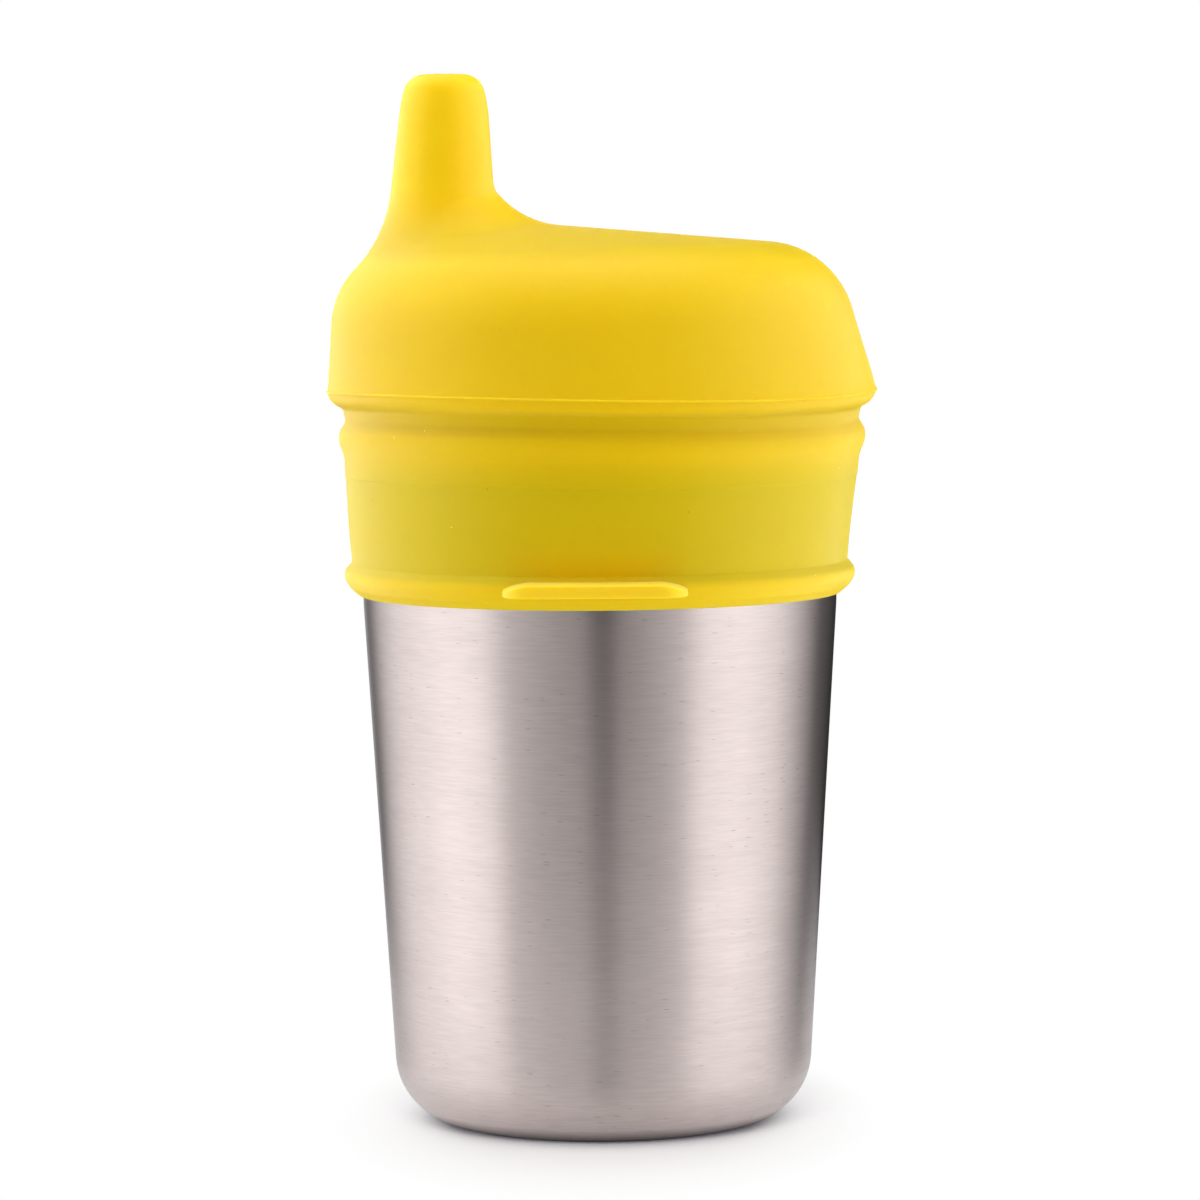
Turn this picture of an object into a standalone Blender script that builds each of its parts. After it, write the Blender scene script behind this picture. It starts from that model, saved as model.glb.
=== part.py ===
"""A child's sippy cup: a drawn steel cup and the soft silicone spout lid that stretches over its rim.

Metres, +Z up. The origin is on the cup's axis, at the height of the surface that it stands on.
The spout is on the -X side of the lid, and a pull tab is on its -Y side and on its +Y side.
"""

import math

import bmesh
import bpy
import numpy as np

# Steel cup
RIM_HEIGHT = 0.0960
BASE_RADIUS = 0.0274  # where the tapered wall would meet the surface
COLLAR_RADIUS = 0.0316  # outside of the straight collar that the lid grips
COLLAR_LENGTH = 0.0262
CORNER_ROUND = 0.0090  # outside of the bottom corner
STEEL_WALL = 0.0007
LIP_ROUND = 0.0003
RECESS_RADIUS = 0.0140  # the middle of the base is pressed in, so that the cup stands on a ring
RECESS_DEPTH = 0.0006
RECESS_SLOPE = 0.0020

# Where the lid meets the cup. Heights on the lid count from its seat on the rim.
FIT = 0.0003
LEDGE_OVERHANG = 0.0012  # how far the lid's inner ledge reaches inside the cup's wall
LEDGE_THICKNESS = 0.0020

# Lid skirt. Each "out" is the distance out from the foot of the skirt, and each "drop" is below the seat.
SKIRT_DEPTH = 0.0255
SKIRT_WALL = 0.00115
SKIRT_EDGE = 0.0002  # flat lower edge
LOWER_BEAD_OUT = 0.00135
LOWER_BEAD_CREST = 0.00285  # height of the crest above the lower edge
LOWER_BEAD_TOP = 0.0044  # height above the lower edge where the bead ends and the skirt starts
LOWER_BEAD_ROUND = 0.0015
LOWER_BEAD_TOP_ROUND = 0.0003
BEAD_UNDERSIDE_OUT = 0.00027
BEAD_UNDERSIDE = 0.00105  # height above the lower edge where the bead turns under
BEAD_UNDERSIDE_ROUND = 0.0020
UPPER_BEAD_OUT = 0.0023
UPPER_BEAD_DROP = 0.00425
UPPER_BEAD_ROUND = 0.0025
UPPER_BEAD_FOOT_OUT = 0.00125
UPPER_BEAD_FOOT_DROP = 0.0072
UPPER_BEAD_FOOT_ROUND = 0.0042
GROOVE_OUT = 0.0011
GROOVE_WIDTH = 0.00165
GROOVE_FOOT_ROUND = 0.0005
GROOVE_TOP_OUT = 0.00145
GROOVE_TOP_DROP = 0.0007
GROOVE_TOP_ROUND = 0.0010

# Lid brim, the widest line of the lid, and the lip under it
BRIM_OUT = 0.0035
BRIM_RISE = 0.0015
LIP_INSET = 0.0004
LIP_HEIGHT = 0.00135
LIP_TURN = 0.0023

# Lid dome and spout. Each "rise" is above the brim, and each "inset" is in from the brim.
DOME_WALL = 0.0020
SPOUT_SHOULDER_INSET = 0.00155
SPOUT_SHOULDER_RISE = 0.0135
SPOUT_SHOULDER_ROUND = 0.0116
FAR_SHOULDER_INSET = 0.00485
FAR_SHOULDER_RISE = 0.0191
FAR_SHOULDER_ROUND = 0.0123
SIDE_SHOULDER_INSET = 0.0033
SIDE_SHOULDER_RISE = 0.0172
SIDE_SHOULDER_ROUND = 0.0120
SPOUT_FOOT_CENTRE = -0.0208
SPOUT_FOOT_THICKNESS = 0.0146
SPOUT_FOOT_WIDTH = 0.0190
SPOUT_FOOT_RISE = 0.0208  # on the outer side of the spout
SPOUT_FOOT_ROUND = 0.0177
DECK_RISE = 0.0229  # where the deck meets the inner side of the spout
DECK_ROUND = 0.0083
TIP_CENTRE = -0.0202
TIP_THICKNESS = 0.0117  # where the sides start to ease in towards the tip
TIP_WIDTH = 0.0149  # at the same height
TIP_RISE = 0.0421
TIP_EASE_IN = 0.0010
TIP_EASE_DEPTH = 0.0042
TIP_EASE_ROUND = 0.0220
TIP_ROUND = 0.0022

# Openings through the lid
SLOT_LENGTH = 0.0050
SLOT_WIDTH = 0.0008
VENT_RADIUS = 0.0006
VENT_INSET = 0.0205  # in from the brim, on the side away from the spout

# Pull tabs on the lower bead
TAB_WIDTH = 0.0236
TAB_REACH = 0.0049  # out from the crest of the bead
TAB_THICKNESS = 0.00175
TAB_RISE = 0.00205  # underside above the skirt's lower edge
TAB_CORNER = 0.0028
TAB_END_DROP = 0.0011  # how far the top of the tab falls towards its ends
TAB_END_POWER = 1.5  # the top starts to fall gently, and then falls at an almost even slope

# Fineness of the mesh
SEGMENTS = 48
ARC_ANGLE = math.radians(26)  # the most that a round turns between two points
FINE_ARC_ANGLE = math.radians(3)
DOME_COUNTS = (5, 10, 4, 3, 3)  # rings from the brim to the shoulder, foot, easing, tip's edge and its middle
LINER_COUNTS = (3, 8, 3, 2, 2)  # the same on the inside of the dome
TAB_COLUMNS = 12
VENT_SIDES = 12
SMOOTH_ANGLE = math.radians(40)

# Finishes
STEEL_COLOUR = (0.62, 0.59, 0.58, 1.0)
STEEL_ROUGHNESS = 0.32
SILICONE_COLOUR = (0.88, 0.58, 0.02, 1.0)
SILICONE_ROUGHNESS = 0.5

# Sizes that follow from those above
SEAT_HEIGHT = RIM_HEIGHT + FIT
BORE_RADIUS = COLLAR_RADIUS + FIT
SKIRT_RADIUS = BORE_RADIUS + SKIRT_WALL
BRIM_RADIUS = SKIRT_RADIUS + BRIM_OUT
BEAD_RADIUS = SKIRT_RADIUS + LOWER_BEAD_OUT
LEDGE_RADIUS = COLLAR_RADIUS - STEEL_WALL - LEDGE_OVERHANG
TIP_HEIGHT = BRIM_RISE + TIP_RISE
CUTTER_LENGTH = 5 * DOME_WALL  # reaches through the wall from both sides


def clear_scene():
    for old in list(bpy.data.objects):
        bpy.data.objects.remove(old, do_unlink=True)


def material(name, colour, roughness, metallic):
    made = bpy.data.materials.new(name)
    made.use_nodes = True
    made.diffuse_color = colour
    shader = made.node_tree.nodes["Principled BSDF"]
    shader.inputs["Base Color"].default_value = colour
    shader.inputs["Roughness"].default_value = roughness
    shader.inputs["Metallic"].default_value = metallic
    return made


# Outlines. Each is a list of corners (across, up, round), walked with the outside on the right hand.


def straights(corners):
    """The heading and the length of each straight of an outline."""
    steps = np.diff(np.array(corners)[:, :2], axis=0)
    lengths = np.linalg.norm(steps, axis=1)
    return steps / lengths[:, None], lengths


def turn_at(heading, i):
    """The angle between the straights before and after corner i, positive to the left."""
    before, after = heading[i - 1], heading[i]
    return math.atan2(before[0] * after[1] - before[1] * after[0], before @ after)


def round_reaches(corners, heading, lengths):
    """How far each round reaches from its corner, less where two rounds would overlap on a straight."""
    reach = np.zeros(len(corners))
    for i in range(1, len(corners) - 1):
        reach[i] = corners[i][2] * math.tan(abs(turn_at(heading, i)) / 2)
    share = np.ones(len(corners))
    for i, length in enumerate(lengths):
        fits = min(1.0, length / max(reach[i] + reach[i + 1], length))
        share[i] = min(share[i], fits)
        share[i + 1] = min(share[i + 1], fits)
    return reach * share


def rounded(corners, arc_angle=ARC_ANGLE):
    """The points of an outline with its rounds as arcs, and the index of each corner's middle point."""
    heading, lengths = straights(corners)
    reach = round_reaches(corners, heading, lengths)
    path = [np.array(corners[0][:2])]
    middles = [0]
    for i in range(1, len(corners) - 1):
        corner = np.array(corners[i][:2])
        turn = turn_at(heading, i)
        if reach[i] == 0.0:
            middles.append(len(path))
            path.append(corner)
            continue
        half_steps = math.ceil(abs(turn) / arc_angle / 2)
        middles.append(len(path) + half_steps)
        ahead = heading[i - 1]
        inward = math.copysign(1.0, turn) * np.array((-ahead[1], ahead[0]))
        radius = reach[i] / math.tan(abs(turn) / 2)
        centre = corner - ahead * reach[i] + inward * radius
        for step in range(2 * half_steps + 1):
            angle = abs(turn) * step / (2 * half_steps)
            path.append(centre + radius * (math.sin(angle) * ahead - math.cos(angle) * inward))
    middles.append(len(path))
    path.append(np.array(corners[-1][:2]))
    return np.array(path), middles


def inset(corners, wall):
    """An outline moved inwards by a wall. Its two end points move straight in."""
    heading, _ = straights(corners)
    inward = np.column_stack((-heading[:, 1], heading[:, 0]))
    moved = [(*(np.array(corners[0][:2]) + wall * inward[0]), 0.0)]
    for i in range(1, len(corners) - 1):
        turn = turn_at(heading, i)
        shift = inward[i - 1] + math.tan(turn / 2) * -heading[i - 1]
        tighter = math.copysign(wall, turn)
        point = np.array(corners[i][:2]) + wall * shift
        moved.append((*point, max(corners[i][2] - tighter, 0.0)))
    moved.append((*(np.array(corners[-1][:2]) + wall * inward[-1]), 0.0))
    return moved


def stations(corners, counts):
    """Points along an outline, evenly spaced between the middles of its corners."""
    path, middles = rounded(corners, FINE_ARC_ANGLE)
    walked = np.concatenate(([0.0], np.cumsum(np.linalg.norm(np.diff(path, axis=0), axis=1))))
    marks = walked[middles]
    places = [marks[0]]
    for start, end, count in zip(marks, marks[1:], counts):
        places.extend(np.linspace(start, end, count + 1)[1:])
    return np.column_stack([np.interp(places, walked, path[:, axis]) for axis in range(2)])


# Skins. Each is a list of rings with as many points as each other, or with one point where it closes.


def ring(middle, half_length, half_width, level, tilt=0.0, lift=0.0):
    """A closed ring that is an oval from above. It tilts along X, and lifts at its two ends along Y."""
    points = []
    for step in range(SEGMENTS):
        angle = 2 * math.pi * step / SEGMENTS
        along, aside = math.cos(angle), math.sin(angle)
        height = level + tilt * along + lift * aside**2
        points.append((middle + half_length * along, half_width * aside, height))
    return points


def turned_rings(path):
    """The rings of a turned piece, one for each point of its outline."""
    return [ring(0.0, across, across, up) if across > 0.0 else [(0.0, 0.0, up)] for across, up in path]


def add_object(name, bm, surface=None):
    mesh = bpy.data.meshes.new(name)
    bm.to_mesh(mesh)
    bm.free()
    mesh.shade_smooth()
    mesh.set_sharp_from_angle(angle=SMOOTH_ANGLE)
    made = bpy.data.objects.new(name, mesh)
    if surface:
        mesh.materials.append(surface)
    bpy.context.scene.collection.objects.link(made)
    return made


def skin(rings):
    """A closed mesh through the rings. A ring of one point closes its end, and any other gets a flat cap."""
    bm = bmesh.new()
    loops = [[bm.verts.new(point) for point in points] for points in rings]
    for one, other in zip(loops, loops[1:]):
        count = max(len(one), len(other))
        for k in range(count):
            after = (k + 1) % count
            there = (one[k % len(one)], one[after % len(one)])
            back = (other[after % len(other)], other[k % len(other)])
            bm.faces.new(list(dict.fromkeys(there + back)))
    for end in (loops[0], loops[-1]):
        if len(end) > 1:
            bm.faces.new(end)
    bmesh.ops.recalc_face_normals(bm, faces=bm.faces)
    return bm


# Steel cup


def cup_outside():
    """The cup's outside from the middle of its base to its rim."""
    return [
        (0.0, RECESS_DEPTH, 0.0),
        (RECESS_RADIUS, RECESS_DEPTH, RECESS_DEPTH),
        (RECESS_RADIUS + RECESS_SLOPE, 0.0, RECESS_DEPTH),
        (BASE_RADIUS, 0.0, CORNER_ROUND),
        (COLLAR_RADIUS, RIM_HEIGHT - COLLAR_LENGTH, COLLAR_LENGTH),
        (COLLAR_RADIUS, RIM_HEIGHT, 0.0),
    ]


def steel_cup(surface):
    outside = cup_outside()
    inside = inset(outside, STEEL_WALL)[::-1]
    rim_out = (*outside[-1][:2], LIP_ROUND)
    rim_in = (*inside[0][:2], LIP_ROUND)
    path, _ = rounded([*outside[:-1], rim_out, rim_in, *inside[1:]])
    return add_object("steel_cup", skin(turned_rings(path)), surface)


# Silicone lid, in its own frame with the seat at height 0


def skirt_outside():
    """The outside of the lid from the skirt's lower edge up to the brim."""
    foot = -SKIRT_DEPTH
    groove_foot = -GROOVE_TOP_DROP - GROOVE_WIDTH
    lip = BRIM_RISE - LIP_HEIGHT
    return [
        (BORE_RADIUS + SKIRT_EDGE, foot, 0.0),
        (SKIRT_RADIUS + BEAD_UNDERSIDE_OUT, foot + BEAD_UNDERSIDE, BEAD_UNDERSIDE_ROUND),
        (BEAD_RADIUS, foot + LOWER_BEAD_CREST, LOWER_BEAD_ROUND),
        (SKIRT_RADIUS, foot + LOWER_BEAD_TOP, LOWER_BEAD_TOP_ROUND),
        (SKIRT_RADIUS + UPPER_BEAD_FOOT_OUT, -UPPER_BEAD_FOOT_DROP, UPPER_BEAD_FOOT_ROUND),
        (SKIRT_RADIUS + UPPER_BEAD_OUT, -UPPER_BEAD_DROP, UPPER_BEAD_ROUND),
        (SKIRT_RADIUS + GROOVE_OUT, groove_foot, GROOVE_FOOT_ROUND),
        (SKIRT_RADIUS + GROOVE_TOP_OUT, -GROOVE_TOP_DROP, GROOVE_TOP_ROUND),
        (BRIM_RADIUS - LIP_INSET, lip, LIP_TURN),
        (BRIM_RADIUS, BRIM_RISE, 0.0),
    ]


def dome_outline(shoulder, foot, tip, middle):
    """One side of the dome and spout, from the brim over the shoulder and the spout's foot to the tip."""
    return [
        (BRIM_RADIUS, BRIM_RISE, 0.0),
        shoulder,
        foot,
        (tip, TIP_HEIGHT - TIP_EASE_DEPTH, TIP_EASE_ROUND),
        (tip - TIP_EASE_IN, TIP_HEIGHT, TIP_ROUND),
        (middle, TIP_HEIGHT, 0.0),
    ]


def dome_outlines():
    """The outlines on the spout's side, where across points to -X, on the far side and on the two flanks."""
    foot_half = SPOUT_FOOT_THICKNESS / 2
    tip_half = TIP_THICKNESS / 2
    spout_side = dome_outline(
        (BRIM_RADIUS - SPOUT_SHOULDER_INSET, BRIM_RISE + SPOUT_SHOULDER_RISE, SPOUT_SHOULDER_ROUND),
        (foot_half - SPOUT_FOOT_CENTRE, BRIM_RISE + SPOUT_FOOT_RISE, SPOUT_FOOT_ROUND),
        tip_half - TIP_CENTRE,
        -TIP_CENTRE,
    )
    far_side = dome_outline(
        (BRIM_RADIUS - FAR_SHOULDER_INSET, BRIM_RISE + FAR_SHOULDER_RISE, FAR_SHOULDER_ROUND),
        (SPOUT_FOOT_CENTRE + foot_half, BRIM_RISE + DECK_RISE, DECK_ROUND),
        TIP_CENTRE + tip_half,
        TIP_CENTRE,
    )
    flank = dome_outline(
        (BRIM_RADIUS - SIDE_SHOULDER_INSET, BRIM_RISE + SIDE_SHOULDER_RISE, SIDE_SHOULDER_ROUND),
        (SPOUT_FOOT_WIDTH / 2, BRIM_RISE + (SPOUT_FOOT_RISE + DECK_RISE) / 2, DECK_ROUND),
        TIP_WIDTH / 2,
        0.0,
    )
    return spout_side, far_side, flank


def starting_at(corners, height):
    """An outline cut off where its first straight reaches a height."""
    (across, up, _), (next_across, next_up, _) = corners[:2]
    share = (height - up) / (next_up - up)
    return [(across + share * (next_across - across), height, 0.0), *corners[1:]]


def dome_rings(outlines, counts):
    """Rings from the brim to the tip, each through one station on every outline."""
    spout_side, far_side, flank = (stations(outline, counts) for outline in outlines)
    rings = []
    for (near, near_up), (far, far_up), (aside, aside_up) in zip(spout_side, far_side, flank):
        level = (near_up + far_up) / 2
        middle = (far - near) / 2
        rings.append(ring(middle, (far + near) / 2, aside, level, (far_up - near_up) / 2, aside_up - level))
    rings[-1] = [(TIP_CENTRE, 0.0, spout_side[-1][1])]
    return rings


def lid_rings():
    """All the lid's rings, from the inside of the tip down to the skirt and up to the outside of the tip."""
    outside = dome_outlines()
    ledge_top = LEDGE_THICKNESS
    inside = [starting_at(inset(outline, DOME_WALL), ledge_top) for outline in outside]
    liner = dome_rings(inside, LINER_COUNTS)[::-1]
    ledge_and_bore = turned_rings(
        [
            (LEDGE_RADIUS, ledge_top),
            (LEDGE_RADIUS, 0.0),
            (BORE_RADIUS, 0.0),
            (BORE_RADIUS, -SKIRT_DEPTH),
        ]
    )
    skirt_path, _ = rounded(skirt_outside())
    dome = dome_rings(outside, DOME_COUNTS)
    return [*liner, *ledge_and_bore, *turned_rings(skirt_path[:-1]), *dome]


def tab_rings(side):
    """Sections through a pull tab from end to end. Its root is an arc in the middle of the skirt's wall."""
    root_radius = BORE_RADIUS + SKIRT_WALL / 2
    low = TAB_RISE - SKIRT_DEPTH
    half = TAB_WIDTH / 2
    rings = []
    for step in range(TAB_COLUMNS + 1):
        across = -half * math.cos(math.pi * step / TAB_COLUMNS)
        into_corner = max(abs(across) - (half - TAB_CORNER), 0.0) / TAB_CORNER
        fall = 1.0 - math.sqrt(max(1.0 - into_corner**2, 0.0))
        root = side * math.sqrt(root_radius**2 - across**2)
        front = side * (BEAD_RADIUS + TAB_REACH - TAB_CORNER * fall)
        top = low + TAB_THICKNESS - TAB_END_DROP * into_corner**TAB_END_POWER
        rings.append([(across, root, low), (across, front, low), (across, front, top), (across, root, top)])
    return rings


def slot_body():
    """A cutter for the drinking slot through the top of the spout."""
    bm = bmesh.new()
    bmesh.ops.create_cube(bm, size=1.0)
    bmesh.ops.scale(bm, vec=(SLOT_WIDTH, SLOT_LENGTH, CUTTER_LENGTH), verts=bm.verts)
    bmesh.ops.translate(bm, vec=(TIP_CENTRE, 0.0, TIP_HEIGHT), verts=bm.verts)
    return bm


def vent_body():
    """A cutter for the round air hole through the deck."""
    _, far_side, _ = dome_outlines()
    (shoulder, shoulder_up, _), (foot, foot_up, _) = far_side[1:3]
    across = BRIM_RADIUS - VENT_INSET
    deck_up = shoulder_up + (foot_up - shoulder_up) * (shoulder - across) / (shoulder - foot)
    bm = bmesh.new()
    bmesh.ops.create_cone(
        bm,
        cap_ends=True,
        segments=VENT_SIDES,
        radius1=VENT_RADIUS,
        radius2=VENT_RADIUS,
        depth=CUTTER_LENGTH,
    )
    bmesh.ops.translate(bm, vec=(across, 0.0, deck_up), verts=bm.verts)
    return bm


def shape_with(target, name, bm, operation):
    """Joins a helper shape to the target, or cuts it out. The helper itself isn't part of the object."""
    helper = add_object(name, bm)
    helper.parent = target
    helper.hide_render = True
    helper.display_type = "WIRE"
    step = target.modifiers.new(name, "BOOLEAN")
    step.operation = operation
    step.solver = "EXACT"
    step.object = helper


def silicone_lid(surface):
    lid = add_object("silicone_lid", skin(lid_rings()), surface)
    lid.location.z = SEAT_HEIGHT
    shape_with(lid, "front_tab", skin(tab_rings(-1.0)), "UNION")
    shape_with(lid, "back_tab", skin(tab_rings(1.0)), "UNION")
    shape_with(lid, "drinking_slot", slot_body(), "DIFFERENCE")
    shape_with(lid, "air_hole", vent_body(), "DIFFERENCE")
    return lid


def main():
    clear_scene()
    steel_cup(material("brushed_steel", STEEL_COLOUR, STEEL_ROUGHNESS, metallic=1.0))
    silicone_lid(material("yellow_silicone", SILICONE_COLOUR, SILICONE_ROUGHNESS, metallic=0.0))


main()
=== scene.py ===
"""The looks of the sippy cup: fine meshes, finishes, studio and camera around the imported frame.

Metres, +Z up. The spout is on the -X side of the lid, and the camera stands on the -Y side.
"""

import math
from collections import namedtuple

import bmesh
import bpy
import numpy as np
from mathutils import Matrix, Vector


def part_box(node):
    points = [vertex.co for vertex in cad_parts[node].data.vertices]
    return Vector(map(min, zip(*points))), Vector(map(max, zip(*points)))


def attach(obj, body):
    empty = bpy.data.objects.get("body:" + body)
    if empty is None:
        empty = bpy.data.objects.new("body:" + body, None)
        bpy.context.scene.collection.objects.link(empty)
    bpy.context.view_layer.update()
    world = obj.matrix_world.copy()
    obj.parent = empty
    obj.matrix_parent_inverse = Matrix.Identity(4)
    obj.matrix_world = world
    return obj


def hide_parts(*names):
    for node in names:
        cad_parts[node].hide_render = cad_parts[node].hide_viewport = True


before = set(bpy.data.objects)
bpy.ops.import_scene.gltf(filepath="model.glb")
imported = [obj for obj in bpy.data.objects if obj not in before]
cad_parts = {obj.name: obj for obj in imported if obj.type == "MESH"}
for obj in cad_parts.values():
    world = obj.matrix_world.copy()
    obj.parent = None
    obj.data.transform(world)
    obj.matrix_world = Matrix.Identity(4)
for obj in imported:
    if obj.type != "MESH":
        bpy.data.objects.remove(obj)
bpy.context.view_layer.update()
_, cup_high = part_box("steel_cup")
lid_low, lid_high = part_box("silicone_lid")

MM = 0.001

# Camera, fitted to the photograph
PHOTO_SIDE = 1200  # pixels
FOCAL_LENGTH = 5460  # pixels
SENSOR_WIDTH = 36.0  # millimetres
CAMERA_DISTANCE = 0.730
CAMERA_AZIMUTH = math.radians(1.0)
CAMERA_PITCH = math.radians(4.35)
CAMERA_ROLL = math.radians(-0.45)
CAMERA_CLIP = 0.01  # the camera sees nothing closer than this
AIM_HEIGHT = 0.06975

# Studio. An azimuth counts from the camera's side of the object, positive to the camera's right.
# Each light's angles are in degrees. It is shown in the shading, in the gloss, or in both.
Light = namedtuple("Light", "azimuth elevation spread strength shown_in falls_on")
LIGHTS = {
    "left_light": Light(-112.0, 10.0, 100.0, 3.05, "both", "lid"),
    "right_light": Light(102.0, -2.0, 100.0, 2.78, "both", "lid"),
    "top_light": Light(0.0, 88.0, 40.0, 1.95, "shading", "lid"),
    "front_light": Light(0.0, -15.0, 80.0, 1.27, "shading", "lid"),
    "strip_light": Light(0.0, 100.0, 50.0, 1.3, "gloss", "lid"),
    "bounce_light": Light(0.0, -90.0, 60.0, 0.8, "shading", "lid"),
    "floor_front_light": Light(-4.0, 20.0, 50.0, 2.7, "shading", "floor"),
    "floor_back_light": Light(15.0, 105.0, 120.0, 1.48, "shading", "floor"),
}
WHITE = (1.0, 1.0, 1.0, 1.0)
WORLD_FILL = 0.26
FLOOR_SIDE = 0.050  # how far the floor reaches to each side of the object
FLOOR_FRONT = 0.130  # how far it reaches to the front
FLOOR_BACK = 0.200  # how far it reaches to the back, where it grows wider by the flare
FLOOR_FLARE = 0.120
FLOOR_POINTS = 96
SHADE_WIDTH = 0.037  # the floor shows the object's shadow in an oval this far to each side
SHADE_DEPTH = 0.064  # and this far to the front and back
SHADE_START = 0.55  # from this share of the way out, the floor turns as white as the background
FLOOR_RISE = 0.15 * MM  # the foot sinks this far into the floor, so its contact shadow is thin
FLOOR_COLOUR = (0.95, 0.956, 0.942)
FLOOR_WHITE = 1.00  # the floor's brightness where nothing shades it
WALL_RADIUS = 1.5
WALL_BOTTOM = -1.2
WALL_TOP = 1.2
WALL_COLUMNS = 720
CEILING_HEIGHT = 1.6
CEILING_LEVEL = 1.0
# What the steel mirrors, as azimuths with their brightness. There is a dark gap behind the camera,
# a grey wall and a softbox on each side of it, and dark flags at the back.
WALL_LEVELS = (
    (-180.0, 0.45),
    (-168.0, 0.60),
    (-156.0, 0.14),
    (-146.0, 0.32),
    (-135.0, 0.80),
    (-120.0, 1.22),
    (-80.0, 1.70),
    (-60.0, 1.49),
    (-45.0, 0.75),
    (-8.0, 0.34),
    (-0.5, 0.00),
    (5.5, 0.00),
    (11.0, 0.30),
    (40.0, 0.74),
    (55.0, 1.48),
    (75.0, 1.63),
    (100.0, 1.30),
    (118.0, 0.72),
    (135.0, 0.16),
    (160.0, 0.04),
    (172.0, 0.04),
    (180.0, 0.45),
)

# Steel cup
RIM_HEIGHT = cup_high.z
COLLAR_RADIUS = cup_high.x
BASE_RADIUS = 27.4 * MM
COLLAR_LENGTH = 26.2 * MM
CORNER_ROUND = 9.0 * MM
STEEL_WALL = 0.7 * MM
RIM_ROUND = 0.3 * MM
RECESS_RADIUS = 14.0 * MM
RECESS_DEPTH = 0.6 * MM
RECESS_SLOPE = 2.0 * MM

# Lid. An "out" counts from the skirt's outside, and a "drop" down from the seat on the rim. The brim's
# "rise" counts up from the seat, and the rises of the dome and the spout count up from the brim. The
# lower bead and the tabs count up from the skirt's lower edge.
FIT = 0.3 * MM
SEAT_HEIGHT = RIM_HEIGHT + FIT
LEDGE_OVERHANG = 1.2 * MM
LEDGE_THICKNESS = 2.0 * MM
SKIRT_DEPTH = SEAT_HEIGHT - lid_low.z
SKIRT_WALL = 1.15 * MM
SKIRT_EDGE = 0.2 * MM
EDGE_ROUND = 0.25 * MM
LOWER_BEAD_OUT = 1.35 * MM
LOWER_BEAD_CREST = 2.85 * MM
LOWER_BEAD_TOP = 4.4 * MM
LOWER_BEAD_ROUND = 1.5 * MM
LOWER_BEAD_TOP_ROUND = 0.3 * MM
BEAD_UNDERSIDE_OUT = 0.27 * MM
BEAD_UNDERSIDE = 1.05 * MM
BEAD_UNDERSIDE_ROUND = 2.0 * MM
STEP_DROP = 9.7 * MM
STEP_OUT = 0.07 * MM
STEP_WIDTH = 0.25 * MM
UPPER_BEAD_OUT = 2.3 * MM
UPPER_BEAD_DROP = 4.25 * MM
UPPER_BEAD_ROUND = 2.5 * MM
UPPER_BEAD_FOOT_OUT = 1.25 * MM
UPPER_BEAD_FOOT_DROP = 7.2 * MM
UPPER_BEAD_FOOT_ROUND = 4.2 * MM
GROOVE_OUT = 1.1 * MM
GROOVE_WIDTH = 1.65 * MM
GROOVE_FOOT_ROUND = 0.9 * MM
GROOVE_TOP_OUT = 1.45 * MM
GROOVE_TOP_DROP = 0.7 * MM
GROOVE_TOP_ROUND = 1.0 * MM
BRIM_RADIUS = lid_high.x
BRIM_RISE = 1.5 * MM
LIP_INSET = 0.4 * MM
LIP_HEIGHT = 1.35 * MM
LIP_ROUND = 2.3 * MM
RIDGE_OUT = 0.13 * MM  # the mould's parting line around the brim
RIDGE_HALF = 0.19 * MM
RIDGE_CREST_HALF = RIDGE_HALF / 3
DOME_WALL = 2.0 * MM
SPOUT_SHOULDER_INSET = 1.55 * MM
SPOUT_SHOULDER_RISE = 13.5 * MM
SPOUT_SHOULDER_ROUND = 11.6 * MM
FAR_SHOULDER_INSET = 4.7 * MM
FAR_SHOULDER_RISE = 18.9 * MM
FAR_SHOULDER_ROUND = 12.3 * MM
SIDE_SHOULDER_INSET = 3.3 * MM
SIDE_SHOULDER_RISE = 17.2 * MM
SIDE_SHOULDER_ROUND = 12.0 * MM
SPOUT_FOOT_CENTRE = -20.8 * MM
SPOUT_FOOT_THICKNESS = 14.6 * MM
SPOUT_FOOT_WIDTH = 19.0 * MM
SPOUT_FOOT_RISE = 20.8 * MM
SPOUT_FOOT_ROUND = 17.7 * MM
FLANK_FOOT_ROUND = 8.3 * MM
DECK_END = -9.5 * MM  # here the deck would meet the slope up to the spout's back, but for their round
DECK_RISE = 22.38 * MM
DECK_ROUND = 12.0 * MM
SPOUT_BACK_IN = 0.2 * MM
SPOUT_BACK_RISE = 26.8 * MM
SPOUT_BACK_ROUND = 2.5 * MM
TIP_CENTRE = -20.2 * MM
TIP_THICKNESS = 11.7 * MM
TIP_WIDTH = 14.9 * MM
TIP_HEIGHT = lid_high.z - SEAT_HEIGHT
TIP_EASE_IN = 1.0 * MM
TIP_EASE_DEPTH = 4.2 * MM
TIP_EASE_ROUND = 22.0 * MM
TIP_ROUND = 2.9 * MM
SLOT_LENGTH = 5.0 * MM
SLOT_WIDTH = 0.8 * MM
VENT_RADIUS = 0.6 * MM
VENT_INSET = 20.5 * MM
VENT_SIDES = 32
CUTTER_LENGTH = 5 * DOME_WALL

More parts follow.
